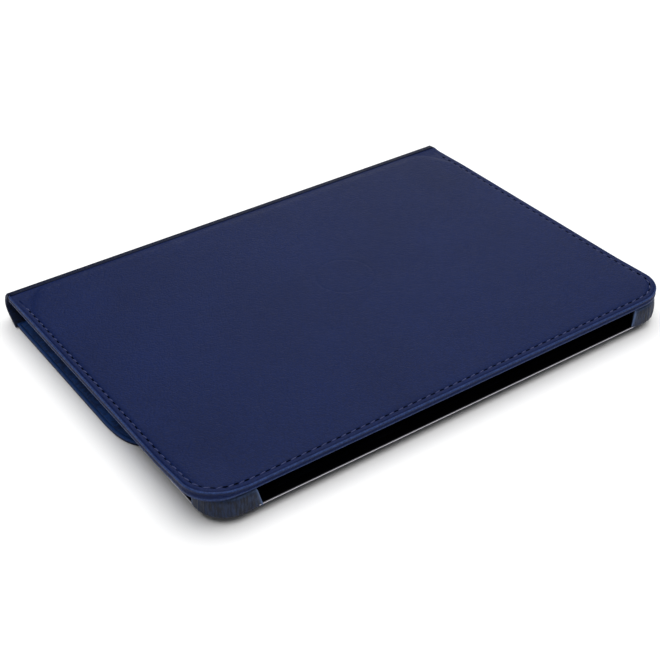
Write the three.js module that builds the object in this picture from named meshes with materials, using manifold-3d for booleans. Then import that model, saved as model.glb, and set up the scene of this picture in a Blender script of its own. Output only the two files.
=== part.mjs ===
// A rotating folio case for a 10-inch tablet, closed, lying on its back panel.
// Millimetres. X runs along the case, +Y points to the spine, +Z is up.
// The origin is under the middle of the case, on the surface it lies on.

import * as THREE from 'three';
import { mergeVertices } from 'three/addons/utils/BufferGeometryUtils.js';
import Module from 'manifold-3d';

const wasm = await Module();
wasm.setup();

// ---------------------------------------------------------------- driving dimensions

const tablet = { length: 251.6, depth: 176, thickness: 6.6, cornerRadius: 11.5 };

const layer = {
  leather: 0.9,
  wrapLeather: 0.7,
  trayLeather: 0.45,
  spineLining: 0.5,
  panelLining: 0.5,
  coverLining: 0.6,
  trayLining: 0.3,
  board: 1,
  foam: 0.8,
  glue: 0.1,
};

const gap = {
  tablet: 0.9, // between the tablet's edge and a clip's wall
  piece: 0.3, // between two pieces that lie beside each other
  running: 0.4, // between the turntable's hub and its ring, on the radius
  ringLift: 0.2, // between the back panel's lining and the turntable's ring
  underTray: 1.4, // below the tray: lifts it over the cover when that lies open beside it
  lip: 0.2, // between the tablet's face and a clip's lip
  overClips: 0.4, // between the clips and the cover's lining
  fold: 0.4, // between a panel and the spine at a fold
};

const cover = {
  overhangEnds: 3.2, // past the tray at each end, on average
  overhangFront: 0.4, // past the tray at the front
  frontRadius: 16,
  rearRadius: 1.5,
  rim: 1.2, // width of the turned leather edge
  edgeBevel: 0.8,
};

const backPanel = {
  inset: 1.5, // shorter than the cover at each end
  sideEnd: 1.4, // from the turntable's axis to the end of the straight side
  sideHandle: 12, // how far the side's line leads on into the corner
  shoulder: { fromSide: 5.8, fromAxis: 25.2 }, // where the corner's curve runs at 45 degrees
  shoulderHandle: 4.2,
  lobeHandle: 7.5,
  tongue: 46.4, // from the turntable's axis to the furthest point of the free edge
  tongueHandle: 52,
  crease: 40.6, // from the turntable's axis to the crease between the two boards
  creaseWidth: 3,
};

const spine = {
  bulge: 5, // how far the leather stands out past the upper fold
  widestZ: 8.9,
  topDrop: 0.3, // from the cover's top down to the upper end of the spine
  shoulderDrop: 4.5, // sets how full the spine is near its top
  footDrop: 3.9, // sets how full it is below its widest level
  lowerFoldInset: 4.4, // from the upper fold in to the lower one
  endInset: 0.6, // shorter than the cover at each end
};

const clip = {
  wall: 1.2,
  lipThickness: 0.6,
  lipReach: 3,
  armAlong: 21, // length along the tray's long edges
  armAcross: 16.6, // length along the tray's short edges
};

const tray = {
  shell: 1.1,
  rearInset: 2.6, // from the upper fold to the tray's rear edge
  sideways: 2.3, // the tray's middle lies this far to the right of the cover's
  liningInset: 4,
  leatherInset: 0.5,
  window: { length: 16, width: 9, fromFront: 14.5, margin: 0.5, endFlat: 0.01 },
};

const turntable = {
  hubRadius: 24,
  flangeReach: 4, // how far the flange laps over the ring
  flange: 0.9,
  screwLand: 3.3, // from the flange's edge to the circle of screws
  ringLand: 6, // from the flange's edge to the ring's outside
  rivetInset: 9, // from the hub's edge to the circle of rivets
  count: 4,
};

const rivet = { shank: 1.2, head: 2.4, headHeight: 0.5, flare: 2, flareHeight: 0.4 };
const screw = { shank: 0.8, head: 1.5, headHeight: 0.5 };
const ridge = { count: 3, length: 180, width: 6, height: 1.6, firstFromFold: 52, pitch: 20 };
const magnet = { length: 20, width: 5, fromMiddle: 70, fromFront: 9, clearance: 0.1 };

// How far a cutting shape runs past a piece, and how far a wall runs up into the lip it is joined to.
const past = 10;
const bite = 0.2;

// ---------------------------------------------------------------- levels, from the surface up

const panelBoardZ = layer.leather + layer.glue;
const panelLiningZ = panelBoardZ + layer.board + layer.glue;
const panelTopZ = panelLiningZ + layer.panelLining;
const trayBottomZ = panelTopZ + gap.underTray;
const shellZ = trayBottomZ + layer.trayLeather + layer.glue;
const shellTopZ = shellZ + tray.shell;
const trayLiningZ = shellTopZ + layer.glue;
const seatZ = trayLiningZ + layer.trayLining;
const lipZ = seatZ + tablet.thickness + gap.lip;
const wrapTopZ = lipZ + clip.lipThickness + layer.glue;
const clipTopZ = wrapTopZ + layer.wrapLeather;
const coverBottomZ = clipTopZ + gap.overClips;
const coverBoardZ = coverBottomZ + layer.coverLining + layer.glue;
const foamZ = coverBoardZ + layer.board + layer.glue;
const coverLeatherZ = foamZ + layer.foam + layer.glue;
const coverTopZ = coverLeatherZ + layer.leather;

// ---------------------------------------------------------------- plan sizes

const wallOffset = gap.tablet + clip.wall + layer.glue + layer.wrapLeather;
const trayHalfLength = tablet.length / 2 + wallOffset;
const trayDepth = tablet.depth + 2 * wallOffset;
const trayRadius = tablet.cornerRadius + wallOffset;
const coverHalfLength = trayHalfLength + cover.overhangEnds;
const caseDepth = cover.overhangFront + trayDepth + tray.rearInset + spine.bulge;
const frontY = -caseDepth / 2;
const spineOuterY = caseDepth / 2;
const upperFoldY = spineOuterY - spine.bulge;
const lowerFoldY = upperFoldY - spine.lowerFoldInset;
const coverRearY = upperFoldY - layer.leather - layer.spineLining - gap.fold;
const panelRearY = lowerFoldY - gap.fold;
const panelHalfLength = coverHalfLength - backPanel.inset;
const trayFrontY = frontY + cover.overhangFront;
const trayRearY = trayFrontY + trayDepth;
const trayMiddleX = tray.sideways;
const trayMiddleY = (trayFrontY + trayRearY) / 2;
const creaseY = trayMiddleY + backPanel.crease;
const flangeRadius = turntable.hubRadius + turntable.flangeReach;
const ringRadius = flangeRadius + turntable.ringLand;
const screwCircle = flangeRadius + turntable.screwLand;
const rivetCircle = turntable.hubRadius - turntable.rivetInset;

// ---------------------------------------------------------------- materials

const finishes = {
  leather: { color: 0x27335c, roughness: 0.55 },
  wrap: { color: 0x333d55, roughness: 0.5 },
  lining: { color: 0x1f3d7a, roughness: 0.95 },
  board: { color: 0x8f8a80, roughness: 0.9 },
  foam: { color: 0xd8d6cf, roughness: 0.95 },
  plastic: { color: 0x0c0d10, roughness: 0.25 },
  metal: { color: 0xb9bcc2, roughness: 0.35, metalness: 0.9 },
};

const folio = new THREE.Group();

function place(name, geometry, finish) {
  const material = new THREE.MeshStandardMaterial(finishes[finish]);
  const mesh = new THREE.Mesh(geometry, material);
  mesh.name = name;
  folio.add(mesh);
  return mesh;
}

// ---------------------------------------------------------------- cutting and joining

function toSolid(geometry) {
  const bare = geometry.clone();
  bare.deleteAttribute('normal');
  bare.deleteAttribute('uv');
  const merged = mergeVertices(bare, 1e-4);
  return new wasm.Manifold(new wasm.Mesh({
    numProp: 3,
    vertProperties: new Float32Array(merged.attributes.position.array),
    triVerts: new Uint32Array(merged.index.array),
  }));
}

function toGeometry(solid) {
  const mesh = solid.getMesh();
  const geometry = new THREE.BufferGeometry();
  geometry.setAttribute('position', new THREE.BufferAttribute(mesh.vertProperties, 3));
  geometry.setIndex(new THREE.BufferAttribute(mesh.triVerts, 1));
  geometry.computeVertexNormals();
  return geometry;
}

function cut(geometry, ...tools) {
  let solid = toSolid(geometry);
  for (const tool of tools) {
    solid = solid.subtract(toSolid(tool));
  }
  return toGeometry(solid);
}

function join(geometry, other) {
  return toGeometry(toSolid(geometry).add(toSolid(other)));
}

// ---------------------------------------------------------------- shapes

const quarter = Math.PI / 2;

function plate(shape, bottomZ, topZ, curveSegments = 10) {
  const options = { depth: topZ - bottomZ, bevelEnabled: false, curveSegments };
  return new THREE.ExtrudeGeometry(shape, options).translate(0, 0, bottomZ);
}

function roundedPanel(halfLength, nearY, farY, nearRadius, farRadius) {
  const shape = new THREE.Shape();
  shape.moveTo(-halfLength, farY - farRadius);
  shape.lineTo(-halfLength, nearY + nearRadius);
  shape.absarc(-halfLength + nearRadius, nearY + nearRadius, nearRadius, 2 * quarter, 3 * quarter);
  shape.lineTo(halfLength - nearRadius, nearY);
  shape.absarc(halfLength - nearRadius, nearY + nearRadius, nearRadius, -quarter, 0);
  shape.lineTo(halfLength, farY - farRadius);
  shape.absarc(halfLength - farRadius, farY - farRadius, farRadius, 0, quarter);
  shape.lineTo(-halfLength + farRadius, farY);
  shape.absarc(-halfLength + farRadius, farY - farRadius, farRadius, quarter, 2 * quarter);
  return shape;
}

// The back panel's outline: straight sides, small rounded corners and a free edge that swells to a tongue.
function backOutline(inset, rearY = panelRearY - inset) {
  const { sideHandle, shoulderHandle, lobeHandle, tongueHandle } = backPanel;
  const side = panelHalfLength - inset;
  const sideEndY = trayMiddleY - backPanel.sideEnd;
  const x = side - backPanel.shoulder.fromSide;
  const y = trayMiddleY - backPanel.shoulder.fromAxis + inset * Math.SQRT1_2;
  const tongueY = trayMiddleY - backPanel.tongue + inset;
  const outerX = x + shoulderHandle;
  const upperY = y + shoulderHandle;
  const innerX = x - lobeHandle;
  const lowerY = y - lobeHandle;
  const shape = new THREE.Shape();
  shape.moveTo(-side, rearY);
  shape.lineTo(-side, sideEndY);
  shape.bezierCurveTo(-side, sideEndY - sideHandle, -outerX, upperY, -x, y);
  shape.bezierCurveTo(-innerX, lowerY, -tongueHandle, tongueY, 0, tongueY);
  shape.bezierCurveTo(tongueHandle, tongueY, innerX, lowerY, x, y);
  shape.bezierCurveTo(outerX, upperY, side, sideEndY - sideHandle, side, sideEndY);
  shape.lineTo(side, rearY);
  return shape;
}

// A straight strip that covers one side of the crease, used to part the two boards.
function band(nearY, farY, bottomZ, topZ) {
  const length = 2 * coverHalfLength;
  const box = new THREE.BoxGeometry(length, farY - nearY, topZ - bottomZ);
  return box.translate(0, (nearY + farY) / 2, (bottomZ + topZ) / 2);
}

function post(x, y, radius, bottomZ, topZ, sides = 16) {
  const cylinder = new THREE.CylinderGeometry(radius, radius, topZ - bottomZ, sides);
  return cylinder.rotateX(quarter).translate(x, y, (bottomZ + topZ) / 2);
}

function turned(profile, x, y, sides) {
  const points = profile.map(([radius, z]) => new THREE.Vector2(radius, z));
  return new THREE.LatheGeometry(points, sides).rotateX(quarter).translate(x, y, 0);
}

// Places on a circle about the turntable's axis, halfway between the X and Y directions.
function around(radius) {
  return Array.from({ length: turntable.count }, (_, index) => {
    const angle = (index + 0.5) * 2 * Math.PI / turntable.count;
    return [trayMiddleX + radius * Math.cos(angle), trayMiddleY + radius * Math.sin(angle)];
  });
}

// ---------------------------------------------------------------- back panel

function addBackPanel() {
  const skin = plate(backOutline(0), 0, panelTopZ, 16);
  const pocket = plate(backOutline(cover.rim), layer.leather, panelTopZ + 1, 16);
  place('back_leather', cut(skin, pocket), 'leather');

  const inside = cover.rim + gap.piece;
  const boardTopZ = panelBoardZ + layer.board;
  const board = plate(backOutline(inside), panelBoardZ, boardTopZ, 16);
  const creaseNearY = creaseY - backPanel.creaseWidth / 2;
  const creaseFarY = creaseY + backPanel.creaseWidth / 2;
  const flareZ = panelBoardZ + rivet.flareHeight + layer.glue;
  const shankHoles = around(rivetCircle).map(([x, y]) =>
    post(x, y, rivet.shank + gap.piece, 0, panelTopZ + 1));
  const flareHoles = around(rivetCircle).map(([x, y]) =>
    post(x, y, rivet.flare + gap.piece, 0, flareZ));
  const beyondCrease = band(creaseNearY, panelRearY + past, 0, panelTopZ + 1);
  const beforeCrease = band(frontY - past, creaseFarY, 0, panelTopZ + 1);
  place('back_board_turntable', cut(board, beyondCrease, ...shankHoles, ...flareHoles), 'board');
  place('back_board_spine', cut(board, beforeCrease), 'board');

  const lining = plate(backOutline(inside), panelLiningZ, panelTopZ, 16);
  place('back_lining', cut(lining, ...shankHoles), 'lining');
}

// ---------------------------------------------------------------- turntable

const ringZ = panelTopZ + gap.ringLift;
const ringTopZ = shellZ - layer.glue;
const flangeZ = shellZ;
const hubTopZ = flangeZ + turntable.flange;

function addTurntable() {
  const hub = turned([
    [0, panelTopZ + layer.glue],
    [turntable.hubRadius, panelTopZ + layer.glue],
    [turntable.hubRadius, flangeZ],
    [flangeRadius, flangeZ],
    [flangeRadius, hubTopZ],
    [0, hubTopZ],
  ], trayMiddleX, trayMiddleY, 64);
  const headZ = hubTopZ - rivet.headHeight - layer.glue;
  const rivetPlaces = around(rivetCircle);
  const rivetHoles = rivetPlaces.flatMap(([x, y]) => [
    post(x, y, rivet.shank + gap.piece, 0, hubTopZ + 1),
    post(x, y, rivet.head + gap.piece, headZ - layer.glue, hubTopZ + 1),
  ]);
  place('turntable_hub', cut(hub, ...rivetHoles), 'plastic');

  rivetPlaces.forEach(([x, y], index) => {
    const shape = turned([
      [0, panelBoardZ],
      [rivet.flare, panelBoardZ],
      [rivet.shank, panelBoardZ + rivet.flareHeight],
      [rivet.shank, headZ],
      [rivet.head, headZ],
      [rivet.head, headZ + rivet.headHeight / 2],
      [0, headZ + rivet.headHeight],
    ], x, y, 12);
    place(`turntable_rivet_${index + 1}`, shape, 'metal');
  });

  const boreRadius = turntable.hubRadius + gap.running;
  const ring = turned([
    [boreRadius, ringZ],
    [ringRadius, ringZ],
    [ringRadius, ringTopZ],
    [boreRadius, ringTopZ],
    [boreRadius, ringZ],
  ], trayMiddleX, trayMiddleY, 64);
  const screwPlaces = around(screwCircle);
  const screwTipZ = ringZ + gap.piece;
  const pilotHoles = screwPlaces.map(([x, y]) =>
    post(x, y, screw.shank + gap.piece, screwTipZ - layer.glue, ringTopZ + 1));
  place('turntable_ring', cut(ring, ...pilotHoles), 'plastic');

  const screwHeadZ = shellTopZ - screw.headHeight - layer.glue;
  screwPlaces.forEach(([x, y], index) => {
    const shape = turned([
      [0, screwTipZ],
      [screw.shank, screwTipZ],
      [screw.shank, screwHeadZ],
      [screw.head, screwHeadZ],
      [screw.head, screwHeadZ + screw.headHeight],
      [0, screwHeadZ + screw.headHeight],
    ], x, y, 12);
    place(`turntable_screw_${index + 1}`, shape, 'metal');
  });
}

// ---------------------------------------------------------------- tray

function windowCut(margin) {
  const halfLength = tray.window.length / 2 + margin;
  const halfWidth = tray.window.width / 2 + margin;
  const middleY = trayFrontY + tray.window.fromFront;
  const radius = halfWidth - tray.window.endFlat;
  const shape = roundedPanel(halfLength, middleY - halfWidth, middleY + halfWidth, radius, radius);
  return plate(shape, 0, coverBottomZ, 6).translate(trayMiddleX, 0, 0);
}

function trayPlate(inset, bottomZ, topZ) {
  const radius = trayRadius - inset;
  const shape = roundedPanel(trayHalfLength - inset, trayFrontY + inset, trayRearY - inset, radius, radius);
  return plate(shape, bottomZ, topZ).translate(trayMiddleX, 0, 0);
}

function addTray() {
  const leather = trayPlate(tray.leatherInset, trayBottomZ, trayBottomZ + layer.trayLeather);
  const ringHole = post(trayMiddleX, trayMiddleY, ringRadius + gap.piece, 0, shellTopZ, 64);
  place('tray_leather', cut(leather, ringHole, windowCut(tray.window.margin)), 'leather');

  const shell = trayPlate(0, shellZ, shellTopZ);
  const flangeHole = post(trayMiddleX, trayMiddleY, flangeRadius + gap.piece, 0, shellTopZ + 1, 64);
  const screwHeadZ = shellTopZ - screw.headHeight - 2 * layer.glue;
  const screwHoles = around(screwCircle).flatMap(([x, y]) => [
    post(x, y, screw.shank + gap.piece, 0, shellTopZ + 1),
    post(x, y, screw.head + gap.piece, screwHeadZ, shellTopZ + 1),
  ]);
  place('tray_shell', cut(shell, flangeHole, windowCut(0), ...screwHoles), 'plastic');

  const lining = trayPlate(tray.liningInset, trayLiningZ, seatZ);
  place('tray_lining', cut(lining, windowCut(tray.window.margin)), 'lining');
}

// An L-shaped band that follows the tray's corner between two insets. signX and signY choose the corner.
function cornerBand(outerInset, innerInset, signX, signY) {
  const middleX = trayHalfLength - trayRadius;
  const middleY = trayDepth / 2 - trayRadius;
  const outer = trayRadius - outerInset;
  const inner = trayRadius - innerInset;
  const startX = trayHalfLength - clip.armAlong;
  const startY = trayDepth / 2 - clip.armAcross;
  const steps = 10;
  const corner = (radius, step) => {
    const angle = quarter * step / steps;
    return [middleX + radius * Math.sin(angle), middleY + radius * Math.cos(angle)];
  };
  const points = [[startX, middleY + outer]];
  for (let step = 0; step <= steps; step += 1) {
    points.push(corner(outer, step));
  }
  points.push([middleX + outer, startY], [middleX + inner, startY]);
  for (let step = steps; step >= 0; step -= 1) {
    points.push(corner(inner, step));
  }
  points.push([startX, middleY + inner]);
  const inPlace = ([x, y]) => new THREE.Vector2(trayMiddleX + signX * x, trayMiddleY + signY * y);
  return new THREE.Shape(points.map(inPlace));
}

function addCornerClips() {
  const wallOuter = layer.wrapLeather + layer.glue;
  const wallInner = wallOuter + clip.wall;
  const lipInner = wallInner + clip.lipReach;
  const corners = [['front', -1], ['rear', 1]];
  const sides = [['left', -1], ['right', 1]];
  for (const [end, signY] of corners) {
    for (const [side, signX] of sides) {
      const wall = plate(cornerBand(wallOuter, wallInner, signX, signY), shellTopZ, lipZ + bite);
      const lip = plate(cornerBand(wallOuter, lipInner, signX, signY), lipZ, lipZ + clip.lipThickness);
      place(`clip_core_${end}_${side}`, join(wall, lip), 'plastic');

      const skin = plate(cornerBand(0, layer.wrapLeather, signX, signY), shellTopZ, wrapTopZ + bite);
      const cap = plate(cornerBand(0, lipInner, signX, signY), wrapTopZ, clipTopZ);
      place(`clip_wrap_${end}_${side}`, join(skin, cap), 'wrap');
    }
  }
}

// ---------------------------------------------------------------- spine

// The spine's outer face, from the upper fold down to the lower one, as points in Y and Z.
function spineFace() {
  const upper = new THREE.QuadraticBezierCurve(
    new THREE.Vector2(upperFoldY, coverTopZ - spine.topDrop),
    new THREE.Vector2(spineOuterY, coverTopZ - spine.shoulderDrop),
    new THREE.Vector2(spineOuterY, spine.widestZ),
  );
  const lower = new THREE.QuadraticBezierCurve(
    new THREE.Vector2(spineOuterY, spine.widestZ),
    new THREE.Vector2(spineOuterY, spine.widestZ - spine.footDrop),
    new THREE.Vector2(lowerFoldY, layer.glue),
  );
  return [...upper.getPoints(8), ...lower.getPoints(8).slice(1)];
}

function addSpine() {
  const face = spineFace();
  const inward = face.map((point, index) => {
    const before = face[Math.max(index - 1, 0)];
    const after = face[Math.min(index + 1, face.length - 1)];
    const along = after.clone().sub(before).normalize();
    return new THREE.Vector2(along.y, -along.x);
  });
  inward[0].set(-1, 0);
  inward[inward.length - 1].set(0, 1);
  const offset = (distance) => face.map((point, index) =>
    point.clone().addScaledVector(inward[index], distance));
  const halfLength = coverHalfLength - spine.endInset;
  const sheet = (near, far) => {
    const outline = [...offset(near), ...offset(far).reverse()];
    const options = { depth: 2 * halfLength, bevelEnabled: false };
    const geometry = new THREE.ExtrudeGeometry(new THREE.Shape(outline), options);
    return geometry.rotateX(quarter).rotateZ(quarter).translate(-halfLength, 0, 0);
  };
  const liningStart = layer.leather + layer.glue;
  place('spine_leather', sheet(0, layer.leather), 'leather');
  place('spine_lining', sheet(liningStart, liningStart + layer.spineLining - layer.glue), 'lining');
}

// ---------------------------------------------------------------- front cover

function coverOutline(inset) {
  const rearRadius = Math.max(cover.rearRadius - inset, 0.3);
  return roundedPanel(
    coverHalfLength - inset,
    frontY + inset,
    coverRearY - inset,
    cover.frontRadius - inset,
    rearRadius,
  );
}

function addFrontCover() {
  const inside = cover.rim + gap.piece;
  const skinOptions = {
    depth: coverTopZ - coverBottomZ - 2 * cover.edgeBevel,
    bevelThickness: cover.edgeBevel,
    bevelSize: cover.edgeBevel,
    bevelOffset: -cover.edgeBevel,
    bevelSegments: 2,
    curveSegments: 12,
  };
  const skin = new THREE.ExtrudeGeometry(coverOutline(0), skinOptions);
  skin.translate(0, 0, coverBottomZ + cover.edgeBevel);
  const pocket = plate(coverOutline(cover.rim), coverBottomZ - 1, coverLeatherZ, 12);
  place('cover_leather', cut(skin, pocket), 'leather');
  place('cover_foam', plate(coverOutline(inside), foamZ, foamZ + layer.foam), 'foam');

  const magnetY = frontY + magnet.fromFront;
  const magnetBox = (x, margin) => {
    const height = layer.board + 2 * margin - 2 * magnet.clearance;
    const box = new THREE.BoxGeometry(magnet.length + 2 * margin, magnet.width + 2 * margin, height);
    return box.translate(x, magnetY, coverBoardZ + layer.board / 2);
  };
  const magnetSides = [['left', -magnet.fromMiddle], ['right', magnet.fromMiddle]];
  const board = plate(coverOutline(inside), coverBoardZ, coverBoardZ + layer.board);
  place('cover_board', cut(board, ...magnetSides.map(([, x]) => magnetBox(x, gap.piece))), 'board');
  for (const [side, x] of magnetSides) {
    place(`sleep_magnet_${side}`, magnetBox(x, 0), 'metal');
  }
  const lining = plate(coverOutline(inside), coverBottomZ, coverBottomZ + layer.coverLining);
  place('cover_lining', lining, 'lining');

  const ridgeTopZ = coverBottomZ - layer.glue;
  for (let index = 0; index < ridge.count; index += 1) {
    const middleY = upperFoldY - ridge.firstFromFold - index * ridge.pitch;
    const section = new THREE.Shape();
    section.moveTo(-ridge.width / 2, 0);
    section.bezierCurveTo(-ridge.width / 2, ridge.height, -1, ridge.height, 0, ridge.height);
    section.bezierCurveTo(1, ridge.height, ridge.width / 2, ridge.height, ridge.width / 2, 0);
    const options = { depth: ridge.length, bevelEnabled: false, curveSegments: 6 };
    const bar = new THREE.ExtrudeGeometry(section, options);
    bar.rotateX(-quarter).rotateZ(quarter);
    bar.translate(ridge.length / 2, middleY, ridgeTopZ);
    place(`stand_ridge_${index + 1}`, bar, 'leather');
  }
}

addBackPanel();
addTurntable();
addTray();
addCornerClips();
addSpine();
addFrontCover();

export default folio;
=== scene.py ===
# %% [markdown]
# A rotating folio case for a tablet, closed, finished in Blender
#
# The frame of the case comes from a packed engineering model: every board, clip, rivet and joint
# has its place there already. This lesson adds what an engineering model leaves out: grained
# leather with a rolled edge, a sewn line, suede, creased corner clips and soft light.
# Lengths are worked out in millimetres, as a maker would, and turned to metres in each mesh.

# %% Load the frame and keep its box
import math

import bmesh
import bpy
import numpy as np
from mathutils import Matrix, Vector


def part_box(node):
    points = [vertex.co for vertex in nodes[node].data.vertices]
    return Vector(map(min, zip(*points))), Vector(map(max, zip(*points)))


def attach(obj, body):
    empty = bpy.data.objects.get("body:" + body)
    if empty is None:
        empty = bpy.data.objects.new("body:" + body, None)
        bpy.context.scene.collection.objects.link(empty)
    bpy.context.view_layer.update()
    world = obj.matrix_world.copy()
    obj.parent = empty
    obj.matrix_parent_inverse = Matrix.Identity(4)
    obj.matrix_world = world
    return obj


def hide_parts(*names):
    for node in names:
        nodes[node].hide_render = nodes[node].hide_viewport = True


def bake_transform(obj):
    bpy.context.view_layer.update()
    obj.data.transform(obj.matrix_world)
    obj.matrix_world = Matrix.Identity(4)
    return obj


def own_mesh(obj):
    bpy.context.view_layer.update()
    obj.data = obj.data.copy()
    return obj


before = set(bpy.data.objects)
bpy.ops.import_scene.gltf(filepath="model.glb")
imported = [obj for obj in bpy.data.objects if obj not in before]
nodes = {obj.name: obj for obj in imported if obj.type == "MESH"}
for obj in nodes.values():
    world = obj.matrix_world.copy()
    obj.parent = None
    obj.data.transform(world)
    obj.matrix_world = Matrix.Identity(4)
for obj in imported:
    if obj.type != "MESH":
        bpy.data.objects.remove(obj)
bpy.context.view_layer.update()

MM = 0.001

# %% [markdown]
# The finished leather has to fit the frame, so no size is typed in twice. The corners of a few
# frame pieces give the cover, the spine, the back panel, the tray and one clip their limits, and
# the tray's own middle is where it turns.

# %% Read the sizes that the leather pieces follow
def reach(node):
    """A frame piece's lowest and highest corner, in millimetres."""
    low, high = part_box(node)
    return np.array(low) / MM, np.array(high) / MM


cover_low, cover_high = reach("cover_leather")
back_low, back_high = reach("back_leather")
spine_low, spine_high = reach("spine_leather")
shell_low, shell_high = reach("tray_shell")
clip_low, clip_high = reach("clip_wrap_front_left")
COVER_TOP = cover_high[2]
COVER_THICK = cover_high[2] - cover_low[2]
SWIVEL_X = (shell_low[0] + shell_high[0]) / 2
SWIVEL_Y = (shell_low[1] + shell_high[1]) / 2
print("cover", np.round(cover_high - cover_low, 1), "mm, its top at", round(COVER_TOP, 2))
print("tray", np.round(shell_high - shell_low, 1), "mm, middle", round(SWIVEL_X, 2), round(SWIVEL_Y, 2))

# %% [markdown]
# The camera stands off the front left corner, a little above the case, with a lens of about
# twice a standard one, so the far edge is only a little shorter than the near one. It looks at
# a point on the table close to the middle of the case, and is rolled by a fraction of a degree.
# It is made first, so that every later step can be looked at through it.

# %% Set up the camera
CAMERA_PLACE = Vector((-0.3058, -0.4335, 0.37315))
CAMERA_AIM = Vector((-0.00709, -0.00577, 0.0))
CAMERA_ROLL = math.radians(-0.422)
LENS = 71.645  # in mm, on a sensor 36 mm wide


def add_camera():
    data = bpy.data.cameras.new("viewing_camera")
    data.sensor_width = 36
    data.lens = LENS
    data.clip_start = 0.05
    camera = bpy.data.objects.new("viewing_camera", data)
    bpy.context.scene.collection.objects.link(camera)
    level = (CAMERA_AIM - CAMERA_PLACE).to_track_quat("-Z", "Y").to_matrix()
    turned = level @ Matrix.Rotation(CAMERA_ROLL, 3, "Z")
    camera.matrix_world = Matrix.Translation(CAMERA_PLACE) @ turned.to_4x4()
    bpy.context.scene.camera = camera


add_camera()
print("camera", round(CAMERA_PLACE.length, 3), "m from the middle of the case")

# %% [markdown]
# Shader maths reads best as ordinary sums. The small class below wraps a socket, so that
# `mask * 0.5 + 0.2` adds the Math nodes by itself. Every other node comes from one method that
# takes the node's type, its settings and what goes into its sockets.

# %% Write shader maths as Python
class Wire:
    """A node's output that can be added, multiplied and compared."""

    def __init__(self, graph, socket):
        self.graph = graph
        self.socket = socket

    def sum(self, operation, first, second):
        return self.graph.node("ShaderNodeMath", [first, second], operation=operation)

    def __add__(self, other):
        return self.sum("ADD", self, other)

    def __radd__(self, other):
        return self.sum("ADD", other, self)

    def __sub__(self, other):
        return self.sum("SUBTRACT", self, other)

    def __rsub__(self, other):
        return self.sum("SUBTRACT", other, self)

    def __mul__(self, other):
        return self.sum("MULTIPLY", self, other)

    def __rmul__(self, other):
        return self.sum("MULTIPLY", other, self)

    def __pow__(self, other):
        return self.sum("POWER", self, other)

    def __abs__(self):
        return self.sum("ABSOLUTE", self, 0.0)


class Graph:
    """A material's nodes, or a geometry tree's, made one at a time."""

    def __init__(self, tree):
        self.tree = tree
        tree.nodes.clear()

    def node(self, kind, values=(), out=0, ramp=None, **settings):
        made = self.tree.nodes.new(kind)
        for name, value in settings.items():
            setattr(made, name, value)
        if ramp:
            stops = made.color_ramp.elements
            while len(stops) < len(ramp):
                stops.new(0.5)
            for stop, (place, colour) in zip(stops, ramp):
                stop.position = place
                stop.color = colour
        pairs = values.items() if isinstance(values, dict) else enumerate(values)
        for key, value in pairs:
            if isinstance(value, Wire):
                self.tree.links.new(value.socket, made.inputs[key])
            else:
                made.inputs[key].default_value = value
        return Wire(self, made.outputs[out] if made.outputs else None)

    def blend(self, share, first, second):
        """A colour between two others."""
        return self.node("ShaderNodeMix", {0: share, 6: first, 7: second}, out=2, data_type="RGBA")

    def ease(self, value, low, high):
        """0 below low, 1 above high, smooth between."""
        return self.node("ShaderNodeMapRange", [value, low, high], interpolation_type="SMOOTHSTEP")

    def place(self, stretch=(1, 1, 1)):
        """Points on the piece in metres, stretched so that a pattern can run one way."""
        point = self.node("ShaderNodeTexCoord", out=3)
        if stretch == (1, 1, 1):
            return point
        return self.node("ShaderNodeVectorMath", [point, stretch], operation="MULTIPLY")

    def cloud(self, size, detail=2.0, rough=0.5, where=None):
        """Soft noise whose lumps are about size millimetres across."""
        point = self.place() if where is None else where
        values = {"Vector": point, "Scale": 1 / (size * MM), "Detail": detail, "Roughness": rough}
        return self.node("ShaderNodeTexNoise", values)

    def pebbles(self, size, where=None, feature="DISTANCE_TO_EDGE"):
        """Cells about size millimetres across, as in leather grain."""
        point = self.place() if where is None else where
        return self.node("ShaderNodeTexVoronoi", {"Vector": point, "Scale": 1 / (size * MM)}, feature=feature)

    def bump(self, height, depth, strength=1.0):
        """A normal from a height of 0 to 1, for a relief depth millimetres deep."""
        values = {"Strength": strength, "Distance": depth * MM, "Height": height}
        return self.node("ShaderNodeBump", values)


def tint(code, alpha=1.0):
    """A colour written as six hex digits, as the linear numbers that shaders use."""
    parts = [int(code[i:i + 2], 16) / 255 for i in (0, 2, 4)]
    return tuple(v / 12.92 if v <= 0.04045 else ((v + 0.055) / 1.055) ** 2.4 for v in parts) + (alpha,)


def finish(name, colour, roughness, metallic=0.0, normal=None, graph=None, **fixed):
    """Ends a material in one Principled shader. What varies is linked, what doesn't is set."""
    values = {"Base Color": colour, "Roughness": roughness, "Metallic": metallic}
    if normal is not None:
        values["Normal"] = normal
    for key, value in fixed.items():
        values[key.replace("_", " ").title().replace("Ior", "IOR")] = value
    shader = graph.node("ShaderNodeBsdfPrincipled", values)
    graph.node("ShaderNodeOutputMaterial", {"Surface": shader})
    print("finish", name, "has", len(graph.tree.nodes), "nodes")
    return bpy.data.materials[name]


def start(name):
    material = bpy.data.materials.new(name)
    material.use_nodes = True
    return Graph(material.node_tree)


# %% [markdown]
# The cover is a coated leather with a fine pebble grain: small raised cells about half a
# millimetre across, with soft hills a few millimetres wide under them; the hollows between the
# cells are painted darker, as painted shade. The coat is thin and silky, so it mirrors the room
# only at a low angle. Along its two rolled ridges the edge is painted lighter: partly a rubbed
# coat, partly a painted highlight where the ridges catch the light. Each vertex of a leather
# piece carries how much of that lighter colour it has, in an attribute of its own.

# %% Navy leather
NAVY = "0c1f50"
NAVY_DEEP = "08173f"
# Lighter navy for the rolled ridges and rubbed spots: partly worn coat, partly painted highlight.
NAVY_WORN_AND_HIGHLIGHT = "465f98"


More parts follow.
